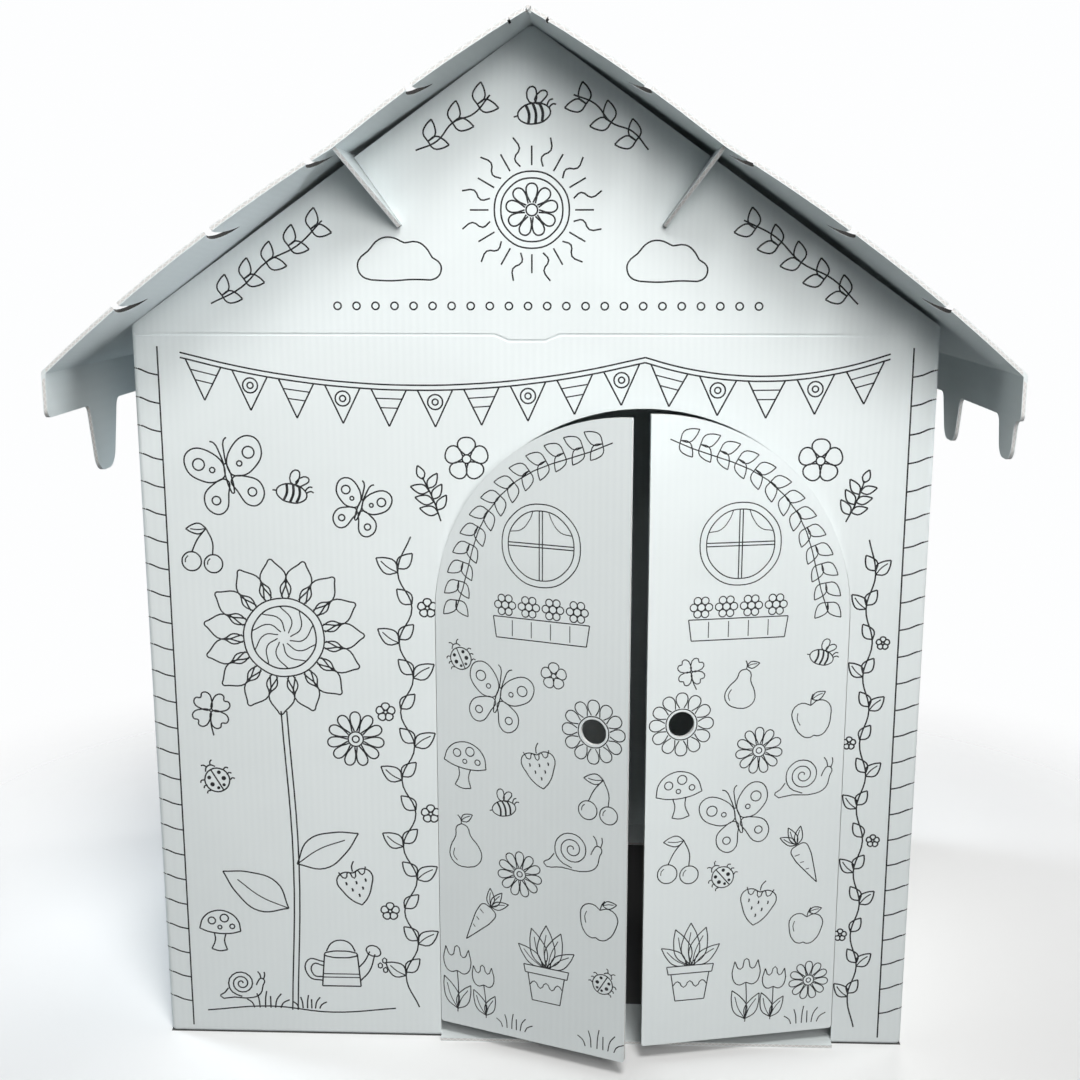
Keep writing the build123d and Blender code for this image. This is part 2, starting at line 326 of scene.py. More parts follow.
def makeRoofSheet(material):
    bpy.ops.object.select_all(action="DESELECT")
    sheet = bpy.data.objects.new("roof_sheet", frame["nodes"]["roof"].data.copy())
    bpy.context.scene.collection.objects.link(sheet)
    bpy.context.view_layer.objects.active = sheet
    sheet.select_set(True)
    bpy.ops.mesh.customdata_custom_splitnormals_clear()
    bpy.ops.object.mode_set(mode="EDIT")
    bpy.ops.mesh.select_all(action="SELECT")
    bpy.ops.mesh.remove_doubles(threshold=warp["merge"])
    bpy.ops.object.mode_set(mode="OBJECT")
    makeNicks(sheet)
    sheet.select_set(True)
    bpy.context.view_layer.objects.active = sheet
    bpy.ops.object.mode_set(mode="EDIT")
    planes = [((0, end * loop, 0), (0, 1, 0)) for loop in warp["loops"] for end in (-1, 1)]
    for side in (-1, 1):  # a line that slides on to the beam
        place = slopePoint(side, house["beamAlong"] - warp["cutSlide"], 0, 0)
        planes.append((place, (side * pitchCosine, 0, -pitchSine)))
    for place, normal in planes:
        bpy.ops.mesh.select_all(action="SELECT")
        bpy.ops.mesh.bisect(plane_co=place, plane_no=normal)
    bpy.ops.mesh.select_all(action="SELECT")
    bpy.ops.mesh.remove_doubles(threshold=warp["merge"])
    bpy.ops.object.mode_set(mode="OBJECT")
    flatPlace = sheet.data.attributes.new(warp["place"], "FLOAT_VECTOR", "POINT")
    for vertex, flat in zip(sheet.data.vertices, flatPlace.data):
        flat.vector = vertex.co
        side, away = copysign(1, vertex.co.x), abs(vertex.co.y)
        along, over = slopeSpace(vertex.co.x, vertex.co.z)
        down = along + slide(along, away)
        over += bowTop(down) - bowTop(along) - settle(down, away, side)
        vertex.co = slopePoint(side, down, over, vertex.co.y)
    bpy.ops.object.shade_smooth_by_angle(angle=radians(warp["smooth"]))
    sheet.data.materials.clear()
    sheet.data.materials.append(material)
    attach(sheet, "house")
    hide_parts("roof")
    print("roof sheet faces:", len(sheet.data.polygons))


def roofMaterial():
    shader = Shader("roof board", warp["place"])
    reach = abs(shader.x)
    along, over = slopeSpace(shader.x, shader.z)

    def under(circle):  # depth below the top of one bow
        middle, level, radius = circle
        return radius - ((along - middle) * (along - middle) + (over - level) * (over - level)).root()

    byRidge = along < house["beamAlong"]
    depth = byRidge * under(upperCircle) + (1 - byRidge) * under(lowerCircle)
    offEave = (eaveReach - reach) > coreEdge["eave"]
    slopeCore = boardCore(depth, along, offEave)
    valanceCore = boardCore(eaveReach - reach, shader.z, depth > coreEdge["valance"])
    behindRake = (roofHalfLength - abs(shader.y)) > coreEdge["rake"]
    offFold = (along > warp["nickAlong"] / 2) * offEave
    # painted shade mask: the inner walls of the rake cuts and nicks, away from the eave and the ridge fold,
    # are painted dark
    cutWallShade = (abs(depth - board / 2) < coreEdge["liner"]) * behindRake * offFold
    return boardSurface(shader, [slopeCore, valanceCore], along, cutWallShade)


def doorMaterial(name, hinge, turn):
    shader = Shader(name)
    hingeX, hingeY = hinge["pos_m"][0], hinge["pos_m"][1]
    cosine, sine = cos(turn), sin(turn)
    fromX, fromY = shader.x - hingeX, shader.y - hingeY
    along = cosine * fromX + sine * fromY
    depth = cosine * fromY - sine * fromX - house["axisOut"]
    return boardSurface(shader, [boardCore(depth, along)], along)


def beamMaterial(name, side):
    shader = Shader(name)
    along = side * shader.x * pitchCosine - (shader.z - ridgeZ) * pitchSine
    depth = along - (house["beamAlong"] - board / 2)
    return boardSurface(shader, [boardCore(depth, shader.y)], shader.y)


boards = {
    "wall_sleeve": wallMaterial(),
    "roof": roofMaterial(),
    "left_door": doorMaterial("left door board", leftHinge, -leftOpen),
    "right_door": doorMaterial("right door board", rightHinge, rightOpen),
    "left_roof_beam": beamMaterial("left beam board", -1),
    "right_roof_beam": beamMaterial("right beam board", 1),
}
for nodeName, material in boards.items():
    for materialSlot in frame["nodes"][nodeName].material_slots:
        materialSlot.material = material
makeRoofSheet(boards["roof"])
print("board materials made:", len(boards))


# Black line print: thin raised strokes, drawn in millimetres on each panel

inkLook = {
    "dark": (0.014, 0.015, 0.017, 1),
    "worn": (0.085, 0.088, 0.092, 1),
    "rise": 0.00012,
    "lift": 0.00003,
    "wallLine": 1.6,
    "doorLine": 1.2,
    "roofLine": 1.9,
    "patch": (160.0, 3.0), "grain": (1400.0, 2.0),  # noise
    "wear": (0.55, 0.25),  # by patch and by grain
    "roughness": (0.48, 0.2),  # even and by grain
    "bump": 0.00002,
    "arcStep": 45,  # degrees between points of an arc, at most
    "puffStep": 40,
    "spiralPoints": 8,  # for each turn
    "segment": 4.5,  # length of a stroke's segments
    "mostSegments": 6,
}
thin = 0.8  # weight of inner lines


def inkMaterial():
    shader = Shader("black ink")
    patch = shader.noise(*inkLook["patch"])
    grain = shader.noise(*inkLook["grain"])
    byPatch, byGrain = inkLook["wear"]
    worn = byPatch * patch.ramp(0.48, 0.72) + byGrain * grain.ramp(0.4, 0.7)
    colour = shader.mix(worn, inkLook["dark"], inkLook["worn"])
    even, rougher = inkLook["roughness"]
    return shader.finish(colour, even + rougher * grain, grain, inkLook["bump"])


def polar(radius, angle, x=0.0, y=0.0):
    return x + radius * cos(angle), y + radius * sin(angle)


def turned(points, angle):
    cosine, sine = polar(1.0, angle)
    return [(x * cosine - y * sine, x * sine + y * cosine) for x, y in points]


def sweep(start, end, step, least):
    count = max(least, ceil(abs(end - start) / step))
    return [radians(start + (end - start) * i / count) for i in range(count + 1)]


class LinePen:
    def __init__(self, lineWidth):
        self.lineWidth = lineWidth
        self.strokes = []
        self.place()

    def place(self, u=0.0, v=0.0, size=1.0, turn=0.0):
        self.frame = (u, v, size, radians(turn))

    def spots(self, points):
        u, v, size, angle = self.frame
        return [(u + size * x, v + size * y) for x, y in turned(points, angle)]

    def curve(self, points, closed=False, weight=1.0):
        self.strokes.append((self.spots(points), closed, weight, True))

    def mirrored(self, points, closed=False, weight=1.0):
        for side in (1, -1):
            self.curve([(side * x, y) for x, y in points], closed, weight)

    def lines(self, points, closed=False, weight=1.0):
        spots = self.spots(points)
        for start, end in zip(spots, spots[1:] + spots[:1] if closed else spots[1:]):
            self.strokes.append(([start, end], False, weight, False))

    def arc(self, x, y, radius, start=0, end=360, weight=1.0, squash=1.0):
        whole = abs(end - start) >= 360
        steps = sweep(start, end, inkLook["arcStep"], 2)
        spots = [(x + radius * cos(a), y + radius * squash * sin(a)) for a in steps]
        self.curve(spots[:-1] if whole else spots, whole, weight)

    def puffs(self, rounds, closed=False):
        arcs = []
        for x, y, radius, start, end in rounds:
            arcs.append([polar(radius, a, x, y) for a in sweep(start, end, inkLook["puffStep"], 3)])
        for arc, after in zip(arcs, arcs[1:] + arcs[:1] if closed else arcs[1:]):
            meeting = ((arc[-1][0] + after[0][0]) / 2, (arc[-1][1] + after[0][1]) / 2)
            arc[-1] = after[0] = meeting
        for arc in arcs:
            self.curve(arc)

    def spiral(self, x, y, inner, outer, turns):
        count = ceil(turns * inkLook["spiralPoints"])
        shares = [i / count for i in range(count + 1)]
        self.curve([polar(inner + (outer - inner) * s, 2 * pi * turns * s, x, y) for s in shares])

    def dot(self, x, y, radius):
        self.arc(x, y, radius / 2, weight=radius * self.frame[2] / self.lineWidth)

    def leaf(self, x0, y0, x1, y1, bulge=0.26, vein=True):
        dx, dy = x1 - x0, y1 - y0

        def at(share, side):
            return x0 + share * dx - side * dy, y0 + share * dy + side * dx

        for side in (bulge, -bulge):
            self.curve([(x0, y0), at(0.32, side), at(0.70, 0.72 * side), (x1, y1)])
        if vein:
            self.curve([(x0, y0), at(0.4, 0.05), at(0.78, 0.0)], weight=thin)

    def petals(self, count, inner, outer, fullness=0.9, start=90.0, pointed=False):
        half = pi / count * fullness
        tip = 0.25 if pointed else 0.62
        flank = [(inner, 0.55), (0.45 * inner + 0.55 * outer, 1.0), (0.1 * inner + 0.9 * outer, tip)]
        outline = [(r, -w) for r, w in flank] + [(outer, 0.0)] + flank[::-1]
        for i in range(count):
            middle = radians(start) + 2 * pi * i / count
            self.curve([polar(r, middle + half * w) for r, w in outline])

    def draw(self, name, panel, body, slot, bend=None):
        bpy.ops.object.select_all(action="DESELECT")
        bpy.ops.curve.primitive_bezier_curve_add()
        piece = bpy.context.active_object
        piece.name = name
        curve = piece.data
        curve.splines.clear()
        curve.dimensions = "3D"
        curve.twist_mode = "Z_UP"
        curve.fill_mode = "FULL"
        curve.bevel_depth = self.lineWidth / (2 * perMetre)
        curve.bevel_resolution = 0
        curve.use_fill_caps = True
        for spots, closed, weight, smooth in self.strokes:
            self.addStroke(curve, spots, closed, weight, smooth)
        bpy.ops.object.convert(target="MESH")
        piece = bpy.context.active_object
        rise, lift = inkLook["rise"], inkLook["lift"]
        for vertex in piece.data.vertices:  # flat strokes, sunk by half in the board
            vertex.co.z = max(-rise, min(rise, vertex.co.z)) + lift
            if bend:
                vertex.co = bend(vertex.co)
        piece.matrix_world = panel
        bpy.ops.object.transform_apply(location=True, rotation=True, scale=True)
        piece.data.materials.clear()
        piece.data.materials.append(ink)
        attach(piece, body)
        print(name, "strokes:", len(self.strokes), "triangles:", 2 * len(piece.data.polygons))

    def addStroke(self, curve, spots, closed, weight, smooth):
        spline = curve.splines.new("BEZIER" if smooth else "POLY")
        points = spline.bezier_points if smooth else spline.points
        points.add(len(spots) - 1)
        gap = sum(dist(a, b) for a, b in zip(spots, spots[1:])) / (len(spots) - 1)
        for point, (u, v) in zip(points, spots):
            point.radius = weight
            if smooth:
                point.co = (u / perMetre, v / perMetre, 0)
                point.handle_left_type = point.handle_right_type = "AUTO"
            else:
                point.co = (u / perMetre, v / perMetre, 0, 1)
        spline.use_cyclic_u = closed
        segments = round(gap / inkLook["segment"]) + 1
        spline.resolution_u = max(1, min(inkLook["mostSegments"], segments))


ink = inkMaterial()


def panelMatrix(right, up, origin):
    right, up = Vector(right), Vector(up)
    matrix = Matrix((right, up, right.cross(up))).transposed().to_4x4()
    matrix.translation = origin
    return matrix


def leafMatrix(hinge, turn):
    pivot = Vector((hinge["pos_m"][0], hinge["pos_m"][1], 0))
    shut = panelMatrix((1, 0, 0), (0, 0, 1), (0, pivot.y + house["axisOut"], 0))
    return Matrix.Translation(pivot) @ Matrix.Rotation(turn, 4, "Z") @ Matrix.Translation(-pivot) @ shut


# Garden figures, each drawn in a space about two units across

def daisy(pen):
    pen.petals(11, 0.30, 1.0)
    pen.arc(0, 0, 0.27)
    pen.arc(0, 0, 0.12)


def blossom(pen):
    pen.petals(5, 0.22, 1.0, 1.0)
    pen.arc(0, 0, 0.2)


def tulip(pen):
    pen.mirrored([(0, 0.28), (-0.24, 0.22), (-0.42, 0.48), (-0.36, 0.98)])
    pen.curve([(-0.36, 0.98), (-0.18, 0.72), (0, 1.05), (0.18, 0.72), (0.36, 0.98)])
    pen.curve([(0, 0.28), (0.03, -0.3), (0, -1)])
    pen.leaf(0, -0.9, -0.42, 0.05, 0.2)
    pen.leaf(0, -0.9, 0.42, -0.1, 0.2)


def sunflower(pen):
    pen.petals(15, 0.52, 1.0, 1.0, pointed=True)
    pen.petals(15, 0.5, 0.74, 0.5, 102, pointed=True)
    pen.arc(0, 0, 0.5)
    pen.arc(0, 0, 0.4)
    for i in range(10):
        angle = 2 * pi * i / 10
        pen.curve([polar(0.08, angle), polar(0.24, angle + 0.35), polar(0.4, angle + 0.9)], weight=thin)


def butterfly(pen):
    pen.mirrored([(0.06, 0.12), (0.34, 0.78), (0.84, 0.88), (1, 0.48), (0.7, 0.08), (0.3, -0.03)], True)
    pen.mirrored([(0.06, -0.06), (0.48, -0.1), (0.76, -0.36), (0.66, -0.78), (0.36, -0.84),
                  (0.12, -0.4)], True)
    for side in (1, -1):
        pen.arc(side * 0.66, 0.5, 0.15)
        pen.arc(side * 0.36, 0.28, 0.07)
        pen.arc(side * 0.48, -0.5, 0.11)
    pen.arc(0, -0.03, 0.07, squash=5.6)
    pen.mirrored([(0.03, 0.36), (0.06, 0.66), (0.13, 0.94), (0.22, 1.0)])


def ladybird(pen):
    pen.arc(0, -0.1, 0.78)
    pen.lines([(0, 0.68), (0, -0.88)])
    pen.arc(0, 0.62, 0.36, 15, 165)
    pen.mirrored([(0.14, 0.95), (0.24, 1.15), (0.4, 1.2)])
    for x, y, radius in ((0.36, 0.28, 0.13), (0.42, -0.2, 0.15), (0.2, -0.58, 0.11)):
        pen.dot(x, y, radius)
        pen.dot(-x, y, radius)
    for y in (0.3, -0.1, -0.5):
        pen.mirrored([(0.72, y), (0.9, y + 0.06), (1.02, y - 0.06)])


def snail(pen):
    pen.spiral(-0.05, 0.2, 0.05, 0.66, 2.75)
    pen.curve([(-0.68, -0.05), (-0.85, -0.28), (-1.05, -0.46), (-0.4, -0.5), (0.45, -0.5), (0.8, -0.3),
               (0.93, 0.12), (1.0, 0.36), (0.84, 0.46), (0.7, 0.3), (0.62, 0.12)])
    pen.curve([(0.84, 0.45), (0.8, 0.66), (0.7, 0.8)])
    pen.curve([(0.96, 0.42), (1.02, 0.62), (1.0, 0.78)])


def mushroom(pen):
    pen.curve([(-0.9, 0), (-0.76, 0.5), (-0.3, 0.86), (0.3, 0.86), (0.76, 0.5), (0.9, 0)])
    pen.curve([(-0.9, 0), (-0.45, -0.14), (0.45, -0.14), (0.9, 0)])
    pen.mirrored([(0.26, -0.14), (0.2, -0.5), (0.34, -0.92)])
    pen.curve([(-0.34, -0.92), (0, -1.0), (0.34, -0.92)])
    for x, y, radius in ((-0.38, 0.4, 0.16), (0.16, 0.56, 0.18), (0.52, 0.2, 0.11), (-0.02, 0.12, 0.09)):
        pen.arc(x, y, radius)


def cloud(pen):
    puffs = [(-0.66, -0.08, 0.32, 268, 118), (-0.26, 0.16, 0.42, 158, 42), (0.34, 0.12, 0.36, 112, 4),
             (0.72, -0.14, 0.26, 62, -86)]
    pen.puffs(puffs)
    pen.curve([(-0.67, -0.4), (-0.2, -0.42), (0.3, -0.39), (0.74, -0.4)])


def sun(pen):
    pen.arc(0, 0, 0.52)
    pen.arc(0, 0, 0.43)
    pen.petals(9, 0.1, 0.36, 0.9)
    pen.arc(0, 0, 0.08)
    for i in range(24):
        ray = [(0.6, 0), (0.72, 0.05), (0.84, -0.05), (1.0, 0)] if i % 2 else [(0.6, 0), (0.86, 0)]
        pen.curve(turned(ray, 2 * pi * i / 24))


def apple(pen):
    pen.mirrored([(0, 0.52), (0.36, 0.68), (0.76, 0.45), (0.78, -0.05), (0.48, -0.68),
                  (0.18, -0.8), (0, -0.74)])
    pen.curve([(0, 0.52), (0.04, 0.78), (0.14, 0.98)])
    pen.leaf(0.08, 0.76, 0.66, 0.98)
    pen.curve([(-0.56, 0.3), (-0.61, 0.05), (-0.52, -0.22)], weight=thin)


def pear(pen):
    pen.mirrored([(0, 0.74), (0.22, 0.62), (0.3, 0.28), (0.56, -0.12), (0.64, -0.52),
                  (0.38, -0.86), (0, -0.94)])
    pen.curve([(0, 0.74), (0, 0.92), (-0.1, 1.08)])
    pen.leaf(0, 0.86, 0.5, 1.08)
    pen.curve([(-0.42, -0.2), (-0.5, -0.46), (-0.38, -0.68)], weight=thin)


def strawberry(pen):
    pen.mirrored([(0, 0.5), (0.42, 0.6), (0.74, 0.34), (0.6, -0.24), (0.3, -0.72), (0, -0.96)])
    pen.curve([(-0.58, 0.66), (-0.36, 0.34), (-0.18, 0.58), (0, 0.26), (0.18, 0.58), (0.36, 0.34),
               (0.58, 0.66)])
    pen.curve([(0, 0.56), (0.02, 0.8), (0.16, 1.0)])
    for x, y in ((-0.4, 0.1), (0.02, 0.05), (0.42, 0.08), (-0.22, -0.22), (0.22, -0.24), (0, -0.52)):
        pen.curve([(x, y + 0.07), (x + 0.02, y), (x, y - 0.07)], weight=1.3)


def cherries(pen):
    pen.arc(-0.42, -0.5, 0.4)
    pen.arc(0.48, -0.6, 0.38)
    pen.curve([(-0.4, -0.12), (-0.14, 0.42), (0.24, 0.88)])
    pen.curve([(0.46, -0.24), (0.48, 0.3), (0.24, 0.88)])
    pen.leaf(0.24, 0.88, -0.6, 0.86)
    pen.arc(-0.42, -0.5, 0.27, 120, 190, weight=thin)
    pen.arc(0.48, -0.6, 0.25, 120, 190, weight=thin)


def carrot(pen):
    pen.mirrored([(0, 0.4), (0.24, 0.34), (0.28, 0.1), (0.16, -0.45), (0, -1.0)])
    for y, reach in ((0.12, 0.16), (-0.16, 0.12), (-0.44, 0.1)):
        pen.curve([(-0.24 * (1 + y) / 1.2, y), (-0.24 * (1 + y) / 1.2 + reach, y - 0.03)], weight=thin)
    for x, y in ((-0.36, 0.9), (0, 1.05), (0.36, 0.9)):
        pen.leaf(0, 0.42, x, y, 0.2)


def wateringCan(pen):
    pen.lines([(-0.52, 0.28), (-0.6, -0.66), (0.46, -0.66), (0.38, 0.28)])
    pen.arc(-0.07, 0.28, 0.45, squash=0.22)
    pen.lines([(-0.56, -0.3), (0.43, -0.3)], weight=thin)
    pen.lines([(-0.57, -0.4), (0.44, -0.4)], weight=thin)
    pen.curve([(0.44, -0.5), (0.7, -0.2), (0.86, 0.3)])
    pen.curve([(0.41, -0.1), (0.58, 0.1), (0.72, 0.38)])
    pen.curve([(0.62, 0.42), (0.8, 0.56), (1.02, 0.34), (0.92, 0.24)], True)
    pen.curve([(-0.55, 0.06), (-0.98, 0.1), (-0.95, -0.4), (-0.58, -0.5)])
    pen.curve([(-0.56, -0.06), (-0.84, -0.02), (-0.83, -0.34), (-0.57, -0.39)])
    pen.arc(-0.07, 0.3, 0.4, 10, 170)
    for x, y in ((1.0, 0.05), (1.12, 0.2), (1.14, -0.08)):
        pen.curve([(x, y), (x + 0.05, y - 0.13), (x - 0.05, y - 0.13)], True)


def flowerPot(pen):
    pen.lines([(-0.58, -0.1), (0.58, -0.1), (0.54, -0.3), (-0.54, -0.3)], True)
    pen.lines([(-0.47, -0.3), (-0.36, -1.0), (0.36, -1.0), (0.47, -0.3)])
    pen.curve([(-0.43, -0.62), (-0.3, -0.5), (-0.15, -0.66), (0, -0.5), (0.15, -0.66), (0.3, -0.5),
               (0.43, -0.62)])
    for x, y in ((-0.72, 0.4), (0.72, 0.4), (-0.38, 0.86), (0.38, 0.86), (0, 1.0)):
        pen.leaf(0.12 * x, -0.1, x, y, 0.2)


def bee(pen):
    pen.arc(0, -0.1, 0.72, squash=0.6)
    for x, reach in ((-0.3, 0.37), (0.0, 0.43), (0.3, 0.37)):
        pen.curve([(x, -0.1 + reach), (x + 0.08, -0.1), (x, -0.1 - reach)], weight=1.7)
    pen.curve([(0.02, 0.32), (-0.2, 0.8), (0.1, 1.02), (0.22, 0.7)], True)
    pen.curve([(0.14, 0.3), (0.4, 0.78), (0.68, 0.7), (0.5, 0.42)], True)
    pen.lines([(-0.72, -0.1), (-0.9, -0.12)])
    pen.curve([(0.6, 0.15), (0.74, 0.36), (0.9, 0.38)])
    pen.curve([(0.68, 0.06), (0.86, 0.18), (1.0, 0.14)])


def clover(pen):
    heart = [(0.06, 0), (0.4, 0.36), (0.82, 0.44), (0.98, 0.2), (0.84, 0), (0.98, -0.2), (0.82, -0.44),
             (0.4, -0.36)]
    for turn in (135, 225, 315, 45):
        pen.curve(turned(heart, radians(turn)), True)
    pen.curve([(0, -0.06), (0.06, -0.7), (0.26, -1.3)])


def grass(pen):
    for x, lean, tall in ((-0.7, -0.4, 0.5), (-0.4, -0.15, 0.85), (-0.1, 0.1, 1.0), (0.2, 0.0, 0.7),
                          (0.45, 0.35, 0.85), (0.75, 0.5, 0.5)):
        pen.curve([(x, 0), (x + 0.3 * lean, 0.6 * tall), (x + lean, tall)])


def sprig(pen):
    pen.curve([(0, -1), (0.05, -0.2), (0, 0.62)])
    for y in (-0.7, -0.3, 0.1):
        pen.leaf(0.03, y, -0.5, y + 0.38, 0.24, False)
        pen.leaf(0.03, y + 0.1, 0.52, y + 0.46, 0.24, False)
    pen.leaf(0, 0.55, 0, 1.05, 0.26, False)


def roundWindow(pen):
    pen.arc(0, 0, 1.0)
    pen.arc(0, 0, 0.84)
    for bar in (0.04, -0.04):
        pen.lines([(-0.84, bar), (0.84, bar)])
        pen.lines([(bar, -0.84), (bar, 0.84)])
    pen.mirrored([(0.78, 0.3), (0.5, 0.36), (0.28, 0.62), (0.2, 0.82)], weight=thin)


def flowerBox(pen):
    pen.lines([(-1, 0), (1, 0), (0.94, -0.42), (-0.94, -0.42)], True)
    for x in (-0.6, -0.2, 0.2, 0.6):
        pen.lines([(x, -0.05), (x, -0.37)], weight=thin)
    for x in (-0.75, -0.25, 0.25, 0.75):
        pen.arc(x, 0.24, 0.075)
        for i in range(6):
            pen.arc(*polar(0.15, pi * i / 3, x, 0.24), 0.074)


def scatter(pen, figures):
    for figure, *place in figures:  # across, up, size and turn
        pen.place(*place)
        figure(pen)
    pen.place()


def appleTree(pen):
    pen.mirrored([(0.1, -0.25), (0.09, -0.7), (0.2, -1.0)])
    pen.puffs([(-0.14, -0.16, 0.26, 330, 205), (-0.5, 0.0, 0.27, 290, 110), (-0.36, 0.42, 0.3, 215, 70),
               (0.1, 0.6, 0.32, 150, 20), (0.44, 0.3, 0.3, 85, -45), (0.4, -0.08, 0.24, 60, -95),
               (0.16, -0.18, 0.24, -20, -150)], True)
    for x, y in ((-0.4, 0.1), (-0.05, 0.35), (0.32, 0.3), (0.12, 0.02), (-0.22, 0.55)):
        pen.arc(x, y, 0.085)
        pen.curve([(x, y + 0.085), (x + 0.02, y + 0.13), (x + 0.06, y + 0.15)])


def beadRow(pen, start, end, v, step, radius):
    count = round((end - start) / step)
    for i in range(count + 1):
        pen.arc(start + (end - start) * i / count, v, radius)


post = {
    "span": (8, 752), "wide": 20.0, "step": 29.5, "rise": 7.0,
    "stripe": ((20.0, 0.0), (10.0, 0.3), (3.0, 0.75), (0.0, 0.9), (-4.2, 1.0)),  # in from the fold, risen
}


def stripedPost(pen, fold, side):
    low, high = post["span"]
    inner = fold - side * post["wide"]
    pen.lines([(inner, low), (inner, high)])
    count = int((high - low) / post["step"])
    for i in range(1, count + 1):
        v = low + (high - low) * i / (count + 1)
        pen.curve([(fold - side * inward, v + share * post["rise"]) for inward, share in post["stripe"]])


buntingLook = {
    "cord": 5, "cordPoints": 8, "flagSpan": (0.12, 0.88), "flagDrop": 42, "ringDrop": 17,
    "rings": (7.5, 3.0), "stripes": (0.25, 0.5),
}


def bunting(pen, start, end, sag, flags):
    (u0, v0), (u1, v1) = start, end

    def hang(share, drop):
        return u0 + (u1 - u0) * share, v0 + (v1 - v0) * share - 4 * sag * share * (1 - share) - drop

    cord, points = buntingLook["cord"], buntingLook["cordPoints"]
    for drop in (0, cord):
        pen.curve([hang(i / points, drop) for i in range(points + 1)])
    for i in range(flags):
        left, right = (hang((i + share) / flags, cord) for share in buntingLook["flagSpan"])
        u, v = (left[0] + right[0]) / 2, (left[1] + right[1]) / 2 + cord
        tip = v - buntingLook["flagDrop"]
        pen.lines([left, (u, tip), right])
        if i % 2:
            for radius in buntingLook["rings"]:
                pen.arc(u, v - buntingLook["ringDrop"], radius)
        else:
            for share in buntingLook["stripes"]:
                ends = [(x + (u - x) * share, y + (tip - y) * share) for x, y in (left, right)]
                pen.lines(ends, weight=thin)


vineLook = {
    "blossomEvery": 3, "blossomOut": 0.72, "blossomSize": 0.46, "leafRise": 15, "backRoot": 4,
    "backOut": 0.7, "backRise": 20, "bulge": 0.3,
}


def vine(pen, u, low, high, sway, step, reach):
    count = round((high - low) / step)
    spots = [(u + sway * (-1) ** i, low + (high - low) * i / count) for i in range(count + 1)]
    pen.curve(spots)
    for i, (x, y) in enumerate(spots[1:-1]):
        side = -1 if i % 2 else 1
        if (i + 1) % vineLook["blossomEvery"]:
            pen.leaf(x, y, x - side * reach, y + vineLook["leafRise"], vineLook["bulge"])
        else:
            pen.place(x - side * vineLook["blossomOut"] * reach, y, vineLook["blossomSize"] * reach)
            blossom(pen)
            pen.place()
        pen.leaf(x, y + vineLook["backRoot"], x + side * vineLook["backOut"] * reach,
                 y + vineLook["backRise"], vineLook["bulge"], False)


garlandLook = {
    "stem": ((0, 0), (0.25, -5), (0.5, 0), (0.75, -5), (1, 0)),  # share of the run, swayed
    "leafOut": 0.7,
    "bulge": 0.28,
}


def garland(pen, start, end, leaves, length):
    (u0, v0), (u1, v1) = start, end
    run = dist(start, end)
    dx, dy = (u1 - u0) / run, (v1 - v0) / run

    def at(along, across):
        return u0 + dx * along - dy * across, v0 + dy * along + dx * across

    pen.curve([at(run * share, sway) for share, sway in garlandLook["stem"]])
    out = garlandLook["leafOut"] * length
    for i in range(leaves):
        root = (i + 0.5) / leaves * run
        for side in (1, -1):
            pen.leaf(*at(root, 0), *at(root + out, side * out), garlandLook["bulge"], False)


groundLook = {"step": 60, "swell": 6}


def ground(pen, start, end, v):
    count = max(2, round((end - start) / groundLook["step"]))
    run = (end - start) / count
    pen.curve([(start + run * i, v + i % 2 * groundLook["swell"]) for i in range(count + 1)])


fenceLook = {
    "step": 34, "paleHalf": 0.17, "rails": (0.28, 0.36, 0.62, 0.70),
    "pale": ((-0.17, 0), (-0.17, 0.82), (0, 1.0), (0.17, 0.82), (0.17, 0)),
}


def fence(pen, start, end, v, tall):
    count = round((end - start) / fenceLook["step"])
    step = (end - start) / count
    half = fenceLook["paleHalf"] * tall
    for i in range(count):
        middle = start + step * (i + 0.5)
        pen.place(middle, v, tall)
        pen.lines(fenceLook["pale"])
        pen.place()
        if i < count - 1:
            for share in fenceLook["rails"]:
                pen.lines([(middle + half, v + share * tall), (middle + step - half, v + share * tall)])


stemLook = {
    "wide": 6, "bow": 7, "bulge": 0.24,
    "leaves": ((0, 0.35, -70, 42), (11, 0.5, 78, 36)),  # root, share of the stem, reach and rise
}


def flowerStem(pen, u, low, high):
    for edge in (u, u + stemLook["wide"]):
        pen.curve([(edge, low), (edge + stemLook["bow"], (low + high) / 2), (edge, high)])
    for root, share, reach, rise in stemLook["leaves"]:
        v = low + share * (high - low)
        pen.leaf(u + root, v, u + reach, v + rise, stemLook["bulge"])


# Layout of the print, panel by panel

def foldRound(flatHalf):
    radius = house["foldRadius"]

    def bend(point):
        past = abs(point.x) - flatHalf
        if past <= 0:
            return point
        reach = radius + point.z
        out = flatHalf + reach * sin(past / radius)
        return Vector((copysign(out, point.x), point.y, reach * cos(past / radius) - radius))

    return bend


gablePrint = {
    "beads": (-192, 222, 792, 18.8, 3.6),  # start, end, height, step and radius
    "garlands": ((318, 205, 5), (112, 40, 3)),  # foot, head and pairs of leaves
    "garlandDrop": 36,
    "garlandLeaf": 21,
    "figures": [
        (sun, 0, 884, 70), (cloud, -130, 834, 42), (cloud, 132, 832, 40), (bee, 2, 976, 22, 8),
    ],
}


def gableLines(pen):
    apex, fall = perMetre * ridgeZ - gablePrint["garlandDrop"], tan(house["pitch"])
    for side in (-1, 1):
        for foot, head, leaves in gablePrint["garlands"]:
            start, end = (side * foot, apex - foot * fall), (side * head, apex - head * fall)
            garland(pen, start, end, leaves, gablePrint["garlandLeaf"])
    beadRow(pen, *gablePrint["beads"])


